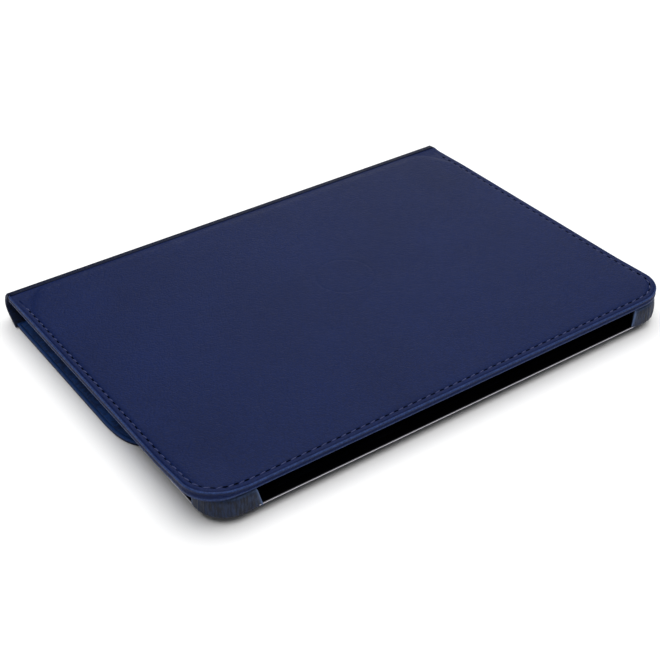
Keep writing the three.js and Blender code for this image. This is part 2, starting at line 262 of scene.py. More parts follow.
def navy_leather(name, ring=None, shine=0.1, shades=(NAVY_DEEP, NAVY)):
    g = start(name)
    wear_and_highlight = g.node("ShaderNodeAttribute", attribute_name="wear_and_highlight", out=2)
    hills = g.cloud(3.4, detail=3)
    patches = g.cloud(38, detail=2)
    cells = g.pebbles(0.85, feature="F1")
    creases = g.pebbles(2.6)
    tone = g.blend(patches, tint(shades[0]), tint(shades[1]))
    # The rolled ridges are painted lighter here: partly rubbed coat, partly painted highlight.
    tone = g.blend(wear_and_highlight * (0.2 + 0.5 * hills), tone, tint(NAVY_WORN_AND_HIGHLIGHT))
    grain = 1 - cells * 0.9
    # Painted shade: the hollows between the grain cells are painted darker.
    tone = g.blend((1 - g.ease(grain, 0.35, 0.8)) * 0.4, tone, tint("060d26"))
    lines = g.ease(creases, 0.0, 0.09)
    height = grain * 0.55 + hills * 0.5 + lines * 0.3
    if ring is not None:
        middle, radius = ring
        point = g.node("ShaderNodeSeparateXYZ", [g.place()])
        x = Wire(g, point.socket.node.outputs[0]) - middle[0] * MM
        y = Wire(g, point.socket.node.outputs[1]) - middle[1] * MM
        away = (x * x + y * y) ** 0.5
        print_line = 1 - g.ease(abs(away - radius * MM), 0.0, 1.1 * MM)
        height = height - print_line * 0.5
    relief = g.bump(height, 0.2)
    gloss = 0.42 + 0.16 * hills - 0.12 * wear_and_highlight
    return finish(name, tone, gloss, normal=relief, graph=g, specular_ior_level=shine)


PRESSED_RING = ((10, 5.6), 14.7)  # middle and radius of the faint circle in the cover
cover_navy = navy_leather("cover_navy_leather", ring=PRESSED_RING)
# The spine's leather is the cover's own sheet, painted darker as painted shade; the hinge strip and the
# tray's underside use it too.
spine_navy_shaded = navy_leather("spine_navy_leather_shaded", shine=0.08, shades=("060d22", "0a1430"))

# %% [markdown]
# The corner clips are covered in a thinner, glossier skin that is pulled round a tight corner,
# so it creases from top to bottom. The creases are real shape in the mesh where they are wide
# and bump where they are fine; both run along the height because the noise is squeezed along Z.
# The hollows of the fine creases are painted darker, as painted shade. The clip's ends and its
# shoulder are painted lighter: partly rubbed leather, partly a painted highlight.

# %% Creased clip leather
def creased_leather(name):
    g = start(name)
    tall = g.place((1, 1, 0.22))
    creases = g.cloud(0.9, detail=4, rough=0.62, where=tall)
    folds = g.cloud(2.4, detail=3, rough=0.55, where=tall)
    patches = g.cloud(6, detail=2)
    wear_and_highlight = g.node("ShaderNodeAttribute", attribute_name="wear_and_highlight", out=2)
    # Painted shade: the hollows of the fine creases are painted darker and the crests lighter.
    tone = g.blend(g.ease(creases, 0.38, 0.68), tint("050a16"), tint("1c2d4c"))
    tone = g.blend(patches * 0.4, tone, tint("101c3c"))
    # The ends and the shoulder are painted lighter: partly rubbed leather, partly painted highlight.
    tone = g.blend(wear_and_highlight * 0.8, tone, tint("647ba8"))
    relief = g.bump(creases * 0.8 + folds * 0.8, 0.3)
    return finish(name, tone, 0.36 + 0.2 * patches, normal=relief, graph=g, specular_ior_level=0.2)


clip_skin = creased_leather("creased_clip_leather")

# %% [markdown]
# The inside is lined with a brushed microfibre suede. The nap lies in changing directions, so
# it looks mottled: lighter where it leans to you. A small sheen on the shader gives the soft
# bright rim of such cloth, and two sizes of noise give the mottle and the short fibres.

# %% Suede linings and the black tray cloth
def suede(name, dark, light, fibre=0.35, sheen=0.15):
    g = start(name)
    mottle = g.cloud(1.5, detail=4, rough=0.65)
    drift = g.cloud(11, detail=2)
    fibres = g.cloud(fibre, detail=3, rough=0.7)
    share = g.ease(mottle * 0.65 + drift * 0.35, 0.36, 0.64)
    tone = g.blend(share, tint(dark), tint(light))
    relief = g.bump(fibres * 0.7 + mottle * 0.5, 0.12)
    return finish(name, tone, 0.93, normal=relief, graph=g, sheen_weight=sheen, sheen_roughness=0.5,
                  specular_ior_level=0.2 * (sheen > 0))


blue_suede = suede("blue_suede", "0a2450", "1b4788")
tray_cloth = suede("black_tray_cloth", "020204", "0a0c12", sheen=0.0)
spine_suede_finish = suede("shaded_spine_suede", "030814", "0a1c3e")

# %% [markdown]
# The rest is plain stock. The tray and the turntable are moulded plastic, rivets and magnets are
# plated steel, and the panels are stiffened with grey board and a thin foam. Each needs only a
# tone, a gloss and a little relief. Thread shows its twist as fine waves, and a needle hole is
# almost black, because no light comes back out of it.

# %% Moulded plastic, metal, board, foam and thread
def moulded_plastic(name, colour, rough, shine):
    g = start(name)
    flow = g.cloud(9, detail=2)
    grain = g.cloud(0.25, detail=2)
    relief = g.bump(grain, 0.006)
    wear_and_highlight = g.node("ShaderNodeAttribute", attribute_name="wear_and_highlight", out=2)
    tone = g.blend(flow * 0.5, tint(colour), tint("060608"))
    # The near-white colour is a painted highlight, used on the tray's polished edge.
    tone = g.blend(wear_and_highlight, tone, tint("f4f2fc"))
    return finish(name, tone, rough + 0.08 * flow, normal=relief, graph=g, specular_ior_level=shine)


def plated_steel(name):
    g = start(name)
    turning = g.cloud(0.6, detail=4, where=g.place((1, 1, 6)))
    tone = g.blend(turning, tint("8d9096"), tint("c4c7cc"))
    return finish(name, tone, 0.26 + 0.2 * turning, metallic=1.0, normal=g.bump(turning, 0.01), graph=g)


def pressed_board(name):
    g = start(name)
    fibres = g.cloud(1.6, detail=5, rough=0.7, where=g.place((1, 3, 1)))
    tone = g.blend(fibres, tint("6f6a60"), tint("a29c8f"))
    return finish(name, tone, 0.9, normal=g.bump(fibres, 0.05), graph=g)


def soft_foam(name):
    g = start(name)
    cells = g.pebbles(0.7, feature="F1")
    tone = g.blend(cells, tint("b9b7ae"), tint("dedcd4"))
    return finish(name, tone, 0.95, normal=g.bump(cells, 0.2), graph=g)


def waxed_thread(name, colour):
    g = start(name)
    ply = g.node("ShaderNodeTexWave", {"Vector": g.place((1, 1, 1)), "Scale": 900.0, "Distortion": 1.0})
    tone = g.blend(ply * 0.5, tint(colour), tint("10173a"))
    return finish(name, tone, 0.5, normal=g.bump(ply, 0.05), graph=g, sheen_weight=0.2)


def hole_shade(name):
    g = start(name)
    tone = g.blend(g.cloud(0.4), tint("010205"), tint("05070f"))
    return finish(name, tone, 0.95, graph=g, specular_ior_level=0.0)


black_plastic = moulded_plastic("black_plastic", "060607", 0.4, shine=0.3)
matt_shell = moulded_plastic("soft_touch_shell", "020203", 0.8, shine=0.0)
edge_plastic = moulded_plastic("polished_edge_plastic", "05050a", 0.45, shine=0.05)
steel = plated_steel("plated_steel")
board = pressed_board("pressed_board")
foam = soft_foam("padding_foam")
thread = waxed_thread("sewing_thread", "26336a")
needle_hole = hole_shade("needle_hole_shade")

# %% [markdown]
# Leather panels are made as rings. Each ring is the panel's outline, moved inwards by some
# distance and lifted to some height, and neighbouring rings are joined by quads. One list of
# distances and heights then draws the whole cross-section of an edge: rim, rolled ridge,
# crease, sewn channel and padding. The outline keeps the same number of points at every
# distance, so the rings always match.

# %% Outlines that keep their point count
def arc(centre, radius, start_angle, count):
    angles = start_angle + np.arange(count) * (math.pi / 2) / count
    return np.stack([centre[0] + radius * np.cos(angles), centre[1] + radius * np.sin(angles)], axis=1)


def edge(first, last, count):
    share = np.arange(count)[:, None] / count
    return np.array(first) * (1 - share) + np.array(last) * share


def rounded_outline(half, near, far, near_radius, far_radius, inset=0.0, counts=(220, 150, 26)):
    """Points round a panel with two near and two far corner radii, anticlockwise from the near left."""
    along, across, turn = counts
    half, near, far = half - inset, near + inset, far - inset
    near_radius = max(near_radius - inset, 0.25)
    far_radius = max(far_radius - inset, 0.25)
    return np.concatenate([
        edge((-half + near_radius, near), (half - near_radius, near), along),
        arc((half - near_radius, near + near_radius), near_radius, -math.pi / 2, turn),
        edge((half, near + near_radius), (half, far - far_radius), across),
        arc((half - far_radius, far - far_radius), far_radius, 0, turn),
        edge((half - far_radius, far), (-half + far_radius, far), along),
        arc((-half + far_radius, far - far_radius), far_radius, math.pi / 2, turn),
        edge((-half, far - far_radius), (-half, near + near_radius), across),
        arc((-half + near_radius, near + near_radius), near_radius, math.pi, turn),
    ])


def make_mesh(name, points, faces, material, body, wear_and_highlight=None, smooth=True):
    """One object from points in millimetres, riding on a body."""
    mesh = bpy.data.meshes.new(name)
    mesh.from_pydata((np.asarray(points) * MM).tolist(), [], faces)
    mesh.update()
    mesh.polygons.foreach_set("use_smooth", [smooth] * len(mesh.polygons))
    marks = mesh.attributes.new("wear_and_highlight", "FLOAT", "POINT")
    marks.data.foreach_set("value", np.zeros(len(points)) if wear_and_highlight is None else np.asarray(wear_and_highlight, float))
    mesh.materials.append(material)
    made = bpy.data.objects.new(name, mesh)
    bpy.context.scene.collection.objects.link(made)
    if body:
        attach(made, body)
    print(name, len(mesh.polygons), "faces")
    return made


def ring_faces(rings, count, close_first=True, close_last=True):
    """Quads between rings of count points each, with a flat face over each end."""
    faces = []
    for r in range(rings - 1):
        low, high = r * count, (r + 1) * count
        for i in range(count):
            j = (i + 1) % count
            faces.append((low + i, low + j, high + j, high + i))
    if close_first:
        faces.append(tuple(reversed(range(count))))
    if close_last:
        faces.append(tuple(range((rings - 1) * count, rings * count)))
    return faces


def face_outwards(mesh):
    sheet = bmesh.new()
    sheet.from_mesh(mesh)
    bmesh.ops.recalc_face_normals(sheet, faces=sheet.faces)
    sheet.to_mesh(mesh)
    sheet.free()


def smoothstep(value, low, high):
    t = np.clip((value - low) / (high - low), 0, 1)
    return t * t * (3 - 2 * t)


def ripples(x, y, size, seed):
    """Soft repeatable waves between -1 and 1, about size millimetres long."""
    rng = np.random.default_rng(seed)
    total = 0
    for _ in range(6):
        angle, phase, scale = rng.uniform(0, math.tau), rng.uniform(0, math.tau), rng.uniform(0.7, 1.5)
        along = x * math.cos(angle) + y * math.sin(angle)
        total = total + np.sin(along * math.tau / (size * scale) + phase)
    return total / 6


# %% [markdown]
# The front cover is board and foam under one sheet of leather. The sheet is turned under all
# round and sewn through near the edge on three sides, which leaves, from the outside in, a
# rolled ridge, a crease, a narrow flat band, the sewn channel and then the padding. On the
# spine side the sheet isn't sewn: it runs on over the spine, and past the padding's round rear
# corners it lies a millimetre lower. The rings below carry that section all the way round.

# %% The cover's cross-section
cover_half = cover_high[0]
cover_near, cover_far = cover_low[1], cover_high[1]
COVER_RADII = (16.0, 1.5)
RIM_WIDTH = 1.3
CHANNEL = 3.3  # from the edge to the sewn line
under_section = [
    (RIM_WIDTH, -0.85), (RIM_WIDTH, -3.40), (1.18, -3.56), (0.95, -3.60), (0.60, -3.60), (0.32, -3.52),
    (0.13, -3.34), (0.03, -3.08), (0.00, -2.80), (0.04, -2.50), (0.16, -2.24), (0.27, -1.95),
    (0.30, -1.65), (0.24, -1.34), (0.10, -1.08), (0.00, -0.84), (0.02, -0.60), (0.14, -0.40),
]
top_section = [
    (0.34, -0.28), (0.56, -0.26), (0.74, -0.36), (0.90, -0.50), (1.05, -0.44), (1.25, -0.20),
    (1.60, -0.06), (2.10, -0.02), (2.55, -0.06), (2.85, -0.18), (3.08, -0.34), (CHANNEL, -0.42),
    (3.52, -0.34), (3.75, -0.14), (4.10, 0.02), (4.60, 0.12), (5.30, 0.18),
]
inner_steps = [6.2, 7.2, 8.4, 9.8, 11.5, 13.5, 16, 19, 22.5, 26.5, 31, 36, 42, 49, 57, 66, 75, 83, 89, 91]
PAD = {"half": cover_half - CHANNEL, "near": cover_near + CHANNEL, "far": 94.0, "radii": (12.7, 32.0)}


def inside_pad(x, y):
    """How far a point lies inside the padding's outline, less than nothing outside it."""
    near_r, far_r = PAD["radii"]
    radius = np.where(y < 0, near_r, far_r)
    end = np.where(y < 0, y - (PAD["near"] + radius), y - (PAD["far"] - radius))
    end = np.where(y < 0, -end, end)
    side = np.abs(x) - (PAD["half"] - radius)
    corner = np.hypot(np.maximum(side, 0), np.maximum(end, 0)) - radius
    return -np.where((side > 0) & (end > 0), corner, np.maximum(side, end) - radius)


def cover_surface(x, y, inset, height):
    """The leather's height above the padding's edge, with the unsewn spine side let down."""
    inner = inside_pad(x, y)
    rear = smoothstep(y, 58, 84)
    far = smoothstep(y, 80, 87.2)
    sewn = height * (1 - rear * 0.75) - 0.85 * rear
    padded = 0.3 + 0.6 * (1 - np.exp(-np.maximum(inner, 0) / 16)) + 0.05 * ripples(x, y, 60, 3)
    share = smoothstep(inner, 0.0, 2.4 + 1.6 * rear)
    share = np.where(inset < CHANNEL - 0.01, share * rear, share)
    top = sewn * (1 - share) + padded * share
    return top * (1 - far) + (-0.35 + 0.3 * padded) * far


# The front corners ride up on the clips below them, the left one more than the right.
CORNER_LIFT = {-1: 2.3, 1: 0.7}


def corner_lift(x, y):
    total = 0
    for side, lift in CORNER_LIFT.items():
        away = np.hypot((x - side * cover_half) / 25, (y - cover_near) / 40)
        total = total + lift * (1 - smoothstep(away, 0.25, 1.0))
    return total


def add_cover_skin():
    insets = [d for d, _ in under_section] + [d for d, _ in top_section] + inner_steps
    heights = [h for _, h in under_section] + [h for _, h in top_section] + [0.2] * len(inner_steps)
    points, wear_and_highlight = [], []
    for index, (inset, height) in enumerate(zip(insets, heights)):
        ring = rounded_outline(cover_half, cover_near, cover_far, *COVER_RADII, inset)
        x, y = ring[:, 0], ring[:, 1]
        z = np.full(len(ring), float(height))
        if index >= len(under_section):
            z = cover_surface(x, y, inset, height)
        elif index >= len(under_section) - 3:
            z = height - 0.5 * smoothstep(y, 58, 84)
        raised = np.clip(0.3 + 0.7 * (z + COVER_THICK) / 2.4, 0.3, 1.0) * corner_lift(x, y)
        points.append(np.stack([x, y, COVER_TOP + z + raised], axis=1))
        # The two rolled ridges of the edge get the lighter colour: partly rubbed coat, partly painted
        # highlight.
        rim = math.exp(-((height + 0.5) / 0.35) ** 2) + math.exp(-((height + 2.9) / 0.3) ** 2)
        wear_and_highlight.append(np.full(len(ring), rim if inset < 0.6 else 0.0))
    count = len(points[0])
    skin = make_mesh("cover_skin", np.concatenate(points), ring_faces(len(points), count), cover_navy,
                     "front_cover", np.concatenate(wear_and_highlight))
    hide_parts("cover_leather")


add_cover_skin()

# %% [markdown]
# The seam is a row of short slanted stitches in a channel, with a dark needle hole between one
# stitch and the next. One stitch and one hole are enough: Geometry Nodes walk along the
# channel, drop a copy at each step and turn it with the line. The tree's inputs are the
# stitch's sizes, so the same tree would sew any other edge.

# %% A geometry tree that sews along a line
def tree_input(tree, name, kind, value):
    socket = tree.interface.new_socket(name, in_out="INPUT", socket_type=kind)
    if value is not None:
        socket.default_value = value
    return socket


def sewing_tree():
    tree = bpy.data.node_groups.new("sew_along_a_line", "GeometryNodeTree")
    g = Graph(tree)
    tree_input(tree, "Line", "NodeSocketGeometry", None)
    usual = {"Pitch": 5.0, "Stitch Length": 3.4, "Thread": 0.5, "Slant": 0.2, "Hole": 0.6, "Hole Length": 2.2}
    for name, value in usual.items():
        tree_input(tree, name, "NodeSocketFloat", value)
    tree_input(tree, "Thread Material", "NodeSocketMaterial", None)
    tree_input(tree, "Hole Material", "NodeSocketMaterial", None)
    tree.interface.new_socket("Sewn", in_out="OUTPUT", socket_type="NodeSocketGeometry")
    given = tree.nodes.new("NodeGroupInput")
    take = {socket.name: Wire(g, socket) for socket in given.outputs if socket.name}
    curve = g.node("GeometryNodeMeshToCurve", {"Mesh": take["Line"]})
    steps = g.node("GeometryNodeResampleCurve", {"Curve": curve, "Length": take["Pitch"] * MM}, mode="LENGTH")
    tangent = g.node("GeometryNodeInputTangent")
    heading = g.node("FunctionNodeAlignEulerToVector", {"Vector": tangent}, axis="X", pivot_axis="Z")

    def beads(length, width, height, shift, slant, material):
        ball = g.node("GeometryNodeMeshUVSphere", {"Segments": 8, "Rings": 6, "Radius": 0.5 * MM})
        size = g.node("ShaderNodeCombineXYZ", [length, width, height])
        move = g.node("ShaderNodeCombineXYZ", [shift, 0.0, 0.0])
        lean = g.node("ShaderNodeCombineXYZ", [0.0, 0.0, slant])
        shape = g.node("GeometryNodeTransform", {"Geometry": ball, "Translation": move, "Rotation": lean,
                                                 "Scale": size})
        smooth = g.node("GeometryNodeSetShadeSmooth", {"Geometry": shape})
        copies = g.node("GeometryNodeInstanceOnPoints", {"Points": steps, "Instance": smooth,
                                                         "Rotation": heading})
        real = g.node("GeometryNodeRealizeInstances", {"Geometry": copies})
        return g.node("GeometryNodeSetMaterial", {"Geometry": real, "Material": material})

    stitches = beads(take["Stitch Length"], take["Thread"], take["Thread"], 0.0, take["Slant"],
                     take["Thread Material"])
    holes = beads(take["Hole Length"], take["Hole"], take["Hole"] * 0.5, take["Pitch"] * (0.5 * MM), 0.0,
                  take["Hole Material"])
    both = tree.nodes.new("GeometryNodeJoinGeometry")
    for part in (stitches, holes):
        tree.links.new(part.socket, both.inputs[0])
    g.node("NodeGroupOutput", [Wire(g, both.outputs[0])])
    return tree


def run_tree(name, points, tree, values, body, closed=False):
    """Runs a tree on a line of points and keeps the result as a plain mesh."""
    mesh = bpy.data.meshes.new(name + "_line")
    count = len(points)
    pairs = [(i, i + 1) for i in range(count - 1)] + ([(count - 1, 0)] if closed else [])
    mesh.from_pydata((np.asarray(points) * MM).tolist(), pairs, [])
    line = bpy.data.objects.new(name + "_line", mesh)
    bpy.context.scene.collection.objects.link(line)
    modifier = line.modifiers.new("nodes", "NODES")
    modifier.node_group = tree
    for socket in tree.interface.items_tree:
        if socket.in_out == "INPUT" and socket.name in values:
            modifier[socket.identifier] = values[socket.name]
    bpy.context.view_layer.update()
    result = bpy.data.meshes.new_from_object(line.evaluated_get(bpy.context.evaluated_depsgraph_get()))
    result.name = name
    made = bpy.data.objects.new(name, result)
    bpy.context.scene.collection.objects.link(made)
    bpy.data.objects.remove(line)
    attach(made, body)
    print(name, len(result.polygons), "faces from the tree", tree.name)
    return made


sewing = sewing_tree()


# %% [markdown]
# On the cover the seam runs up one side, along the front and down the other, and stops short of
# the spine. Its path is the cover's own outline moved in to the channel, and its height is the
# leather's height there, so the stitches lie on the leather wherever it rises or dips.

# %% Sew the cover
STITCH_PITCH = 5.0
SEAM_END = 72.0  # how far towards the spine the seam runs


def seam_line(inset, start_y):
    """The sewn path: down the left side, along the front and up the right side."""
    ring = rounded_outline(cover_half, cover_near, cover_far, *COVER_RADII, inset, counts=(300, 240, 30))
    ring = np.roll(ring, 240 + 30, axis=0)
    keep = (ring[:, 1] < start_y)
    first = int(np.argmax(keep & ~np.roll(keep, 1)))
    ring = np.roll(ring, -first, axis=0)
    return ring[np.roll(keep, -first)]


seam = seam_line(CHANNEL, SEAM_END)
seam_height = cover_surface(seam[:, 0], seam[:, 1], CHANNEL, -0.42) + COVER_TOP + 0.12
seam_height = seam_height + corner_lift(seam[:, 0], seam[:, 1])
seam_points = np.column_stack([seam, seam_height])
sewn = {
    "Pitch": STITCH_PITCH, "Stitch Length": 3.0, "Thread": 0.5, "Slant": 0.16,
    "Hole": 0.75, "Hole Length": 2.5, "Thread Material": thread, "Hole Material": needle_hole,
}
cover_stitches = run_tree("cover_stitches", seam_points, sewing, sewn, "front_cover")
length = np.linalg.norm(np.diff(seam_points, axis=0), axis=1).sum()
print("seam", round(length), "mm long,", round(length / STITCH_PITCH), "stitches")

# %% [markdown]
# The spine is one soft sheet that bulges out behind the tray. Its section is a curve from the
# cover's rear edge, over the bulge and down to the back panel. The sheet has a leather outside
# and a suede inside, so two closed sheets are drawn side by side, each a strip of that curve
# with its own thickness.

# %% The spine's two sheets
SPINE_HALF = spine_high[0]
UPPER_FOLD = (spine_high[1] - 5.0, spine_high[2])
LOWER_FOLD = (spine_low[1], spine_low[2])
WIDEST = (spine_high[1], 8.9)


def bezier(first, middle, last, steps):
    t = np.linspace(0, 1, steps)[:, None]
    a, b, c = (np.array(p, float) for p in (first, middle, last))
    return (1 - t) ** 2 * a + 2 * t * (1 - t) * b + t ** 2 * c


def spine_curve():
    """The outer face in Y and Z, from the upper fold to the lower one, with its inward normals."""
    upper = bezier(UPPER_FOLD, (WIDEST[0], COVER_TOP - 4.5), WIDEST, 22)
    lower = bezier(WIDEST, (WIDEST[0], WIDEST[1] - 3.9), LOWER_FOLD, 22)
    points = np.concatenate([upper, lower[1:]])
    along = np.gradient(points, axis=0)
    along /= np.linalg.norm(along, axis=1)[:, None]
    return points, np.stack([along[:, 1], -along[:, 0]], axis=1)


def add_spine_sheet(name, outside, inside, material, node, crumple):
    curve, inward = spine_curve()
    steps = 150
    xs = np.linspace(-SPINE_HALF, SPINE_HALF, steps)
    points, wear_and_highlight = [], []
    count = len(curve)
    share = np.linspace(0, 1, count)
    hold = np.sin(math.pi * share) ** 0.8
    for x in xs:
        wave = crumple * hold * (ripples(x, 40 * share, 34, 5) + 0.35 * ripples(x, 90 * share, 11, 6))
        end = math.exp(-(SPINE_HALF - abs(x)) / 1.2)
        outer = curve + inward * (outside + wave)[:, None]
        inner = curve + inward * (inside + wave)[:, None]
        loop = np.concatenate([outer, inner[::-1]])
        points.append(np.column_stack([np.full(len(loop), x), loop]))
        wear_and_highlight.append(np.full(len(loop), 0.25 * end))
    return make_strip(name, points, material, "spine", np.concatenate(wear_and_highlight), node)


def make_strip(name, loops, material, body, wear_and_highlight, node=None):
    """A closed body from a row of equal loops, capped at both ends."""
    count = len(loops[0])
    made = make_mesh(name, np.concatenate(loops), ring_faces(len(loops), count), material, body, wear_and_highlight)
    face_outwards(made.data)
    if node:
        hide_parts(*([node] if isinstance(node, str) else node))
    return made


LEATHER = 0.9
spine_skin = add_spine_sheet("spine_skin", 0.0, LEATHER, spine_navy_shaded, "spine_leather", 0.22)
spine_suede = add_spine_sheet("spine_suede", LEATHER + 0.1, LEATHER + 0.5, spine_suede_finish, "spine_lining",
                              0.22)
fold_line = np.array(UPPER_FOLD) - np.array(LOWER_FOLD)
fold_line = fold_line / np.linalg.norm(fold_line)
for sheet in (spine_skin, spine_suede):
    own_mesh(sheet)
arc_length = np.linalg.norm(np.diff(spine_curve()[0], axis=0), axis=1).sum()
arc_length * MM
(arc_length - 1.5) * MM
print("spine sheet", round(2 * SPINE_HALF, 1), "by", round(arc_length, 1), "mm")

# %% [markdown]
# Where the cover runs on into the spine there is no seam on the real case, only a soft fold.
# A narrow strip of the same leather bridges the hinge.

# %% The upper fold
def add_fold_strip():
    xs = np.linspace(-SPINE_HALF + 0.3, SPINE_HALF - 0.3, 90)
    top = bezier((cover_far - 1.6, COVER_TOP - 0.02), (UPPER_FOLD[0] - 0.1, COVER_TOP + 0.02),
                 (UPPER_FOLD[0] + 1.05, COVER_TOP - 1.6), 9)
    along = np.gradient(top, axis=0)
    along /= np.linalg.norm(along, axis=1)[:, None]
    inward = np.stack([along[:, 1], -along[:, 0]], axis=1)
    loops = []
    for x in xs:
        lift = 0.05 * ripples(x, 0, 25, 9)
        outer = top - inward * (0.05 + lift)
        inner = top + inward * 0.3
        loop = np.concatenate([outer, inner[::-1]])
        loops.append(np.column_stack([np.full(len(loop), x), loop]))
    strip = make_strip("fold_strip", loops, spine_navy_shaded, None, np.zeros(len(xs) * len(loops[0])))
    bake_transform(strip)


add_fold_strip()

# %% [markdown]
# The back panel is a stiff board in a sheet of leather that is turned over its edge. Its free
# edge swells to a rounded tongue, which stands on the table when the case is a stand. Its navy
# is painted darker than the cover's, as painted shade. The blue lining is carried over the rim,
# so the per-vertex attribute that lightens edges elsewhere marks the rim here and turns it blue.

# %% The back panel's leather
PANEL = {"side": back_high[0], "rear": back_high[1], "tongue": back_low[1]}


def cubic(a, b, c, d, count):
    t = (np.arange(count) / count)[:, None]
    a, b, c, d = (np.array(p, float) for p in (a, b, c, d))
    return (1 - t) ** 3 * a + 3 * t * (1 - t) ** 2 * b + 3 * t ** 2 * (1 - t) * c + t ** 3 * d


def back_outline(inset=0.0):
    """The outline of the back panel, anticlockwise from its rear left corner."""
    side = PANEL["side"] - inset
    rear = PANEL["rear"] - inset
    side_end = SWIVEL_Y - 1.4
    x = side - 5.8
    y = SWIVEL_Y - 25.2 + inset * 0.707
    tongue = PANEL["tongue"] + inset
    left = [cubic((-side, side_end), (-side, side_end - 12), (-x - 4.2, y + 4.2), (-x, y), 40),
            cubic((-x, y), (-x + 7.5, y - 7.5), (-52, tongue), (0, tongue), 110)]
    right = [cubic((0, tongue), (52, tongue), (x - 7.5, y - 7.5), (x, y), 110),
             cubic((x, y), (x + 4.2, y + 4.2), (side, side_end - 12), (side, side_end), 40)]
    return np.concatenate([edge((-side, rear), (-side, side_end), 60), *left, *right,
                           edge((side, side_end), (side, rear), 60), edge((side, rear), (-side, rear), 120)])


back_section = [
    (1.35, 0.95), (1.35, 2.42), (1.24, 2.56), (1.00, 2.62), (0.60, 2.62), (0.30, 2.55), (0.10, 2.36),
    (0.00, 2.05), (0.00, 1.60), (0.04, 1.10), (0.06, 0.80), (0.02, 0.55), (0.12, 0.28), (0.34, 0.09),
    (0.70, 0.01), (1.40, 0.00), (2.40, 0.00),
]


def panel_leather():
    """Navy leather, painted darker than the cover's as painted shade, with the pressed crease that the stand
    folds on.
    """
    g = start("back_panel_leather")
    wear_and_highlight = g.node("ShaderNodeAttribute", attribute_name="wear_and_highlight", out=2)
    split = g.node("ShaderNodeSeparateXYZ", [g.place()], out=1)
    crease = 1 - g.ease(abs(split - 0.037), 0.0004, 0.0024)
    hills = g.cloud(3.4, detail=3)
    cells = g.pebbles(0.62, feature="F1")
    # Painted shade: a darker navy than the cover's.
    tone = g.blend(g.cloud(38, detail=2), tint("080f28"), tint("0c1838"))
    tone = g.blend(crease * 0.1, tone, tint(NAVY_WORN_AND_HIGHLIGHT))
    tone = g.blend(wear_and_highlight * 0.9, tone, tint("123468"))
    height = (1 - cells * 0.9) * 0.55 + hills * 0.5 - crease * 3.0
    return finish("back_panel_leather", tone, 0.47 + 0.16 * hills, normal=g.bump(height, 0.12), graph=g,
                  specular_ior_level=0.12)


def add_back_skin():
    points, wear_and_highlight = [], []
    for inset, height in back_section:
        ring = back_outline(inset)
        points.append(np.column_stack([ring, np.full(len(ring), height)]))
        wear_and_highlight.append(np.full(len(ring), float(smoothstep(height, 0.9, 1.6))))
    count = len(points[0])
    faces = ring_faces(len(points), count)
    skin = make_mesh("back_skin", np.concatenate(points), faces, panel_leather(), "back_panel",
                     np.concatenate(wear_and_highlight))
    face_outwards(skin.data)
    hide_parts("back_leather")


add_back_skin()

# %% [markdown]
# The corner clips are strips that follow the tray's corner. One section is drawn across the
# strip: up the outside, over a rounded shoulder, in along the lip and back down the inside. It
# is carried along an L-shaped path round the corner. Tall creases are pushed into the outside
# where the skin was pulled round the curve, and each end is cut on a slant.

# %% The path round a tray corner
TRAY = {
    "half": (shell_high[0] - shell_low[0]) / 2,
    "deep": (shell_high[1] - shell_low[1]) / 2,
    "radius": 14.4,
}
ARM_X = clip_high[0] - clip_low[0]
ARM_Y = clip_high[1] - clip_low[1]


def corner_path(inset, steps=150):
    """Points and outward directions from the long edge's end to the short edge's end."""
    middle = np.array([TRAY["half"] - TRAY["radius"], TRAY["deep"] - TRAY["radius"]])
    radius = TRAY["radius"] - inset
    first = ARM_X - TRAY["radius"]
    last = ARM_Y - TRAY["radius"]
    bend = TRAY["radius"] * math.pi / 2
    travel = np.linspace(0, first + bend + last, steps)
    angle = np.clip((travel - first) / TRAY["radius"], 0, math.pi / 2)
    out = np.stack([np.sin(angle), np.cos(angle)], axis=1)
    spot = middle + out * radius
    spot[:, 0] -= np.maximum(first - travel, 0)
    spot[:, 1] -= np.maximum(travel - first - bend, 0)
    return spot, travel, first, first + bend


outside_section = [
    (0.62, 3.98), (0.30, 4.00), (0.00, 4.10), (-0.22, 4.34), (-0.33, 4.75), (-0.37, 5.4), (-0.38, 6.4),
    (-0.38, 7.5), (-0.37, 8.6), (-0.35, 9.7), (-0.31, 10.7), (-0.22, 11.6), (-0.05, 12.4), (0.26, 13.1),
    (0.72, 13.65), (1.35, 14.02), (2.2, 14.2), (3.2, 14.25), (4.2, 14.24), (4.8, 14.18), (5.06, 14.0),
]
inside_section = [
    (5.08, 13.75), (4.95, 13.53), (3.6, 13.5), (2.2, 13.5), (1.2, 13.48), (0.82, 13.3), (0.74, 12.8),
    (0.74, 9.0), (0.74, 5.8), (0.40, 5.68), (-0.03, 5.64), (-0.04, 4.9), (0.05, 4.5), (0.4, 4.4),
]


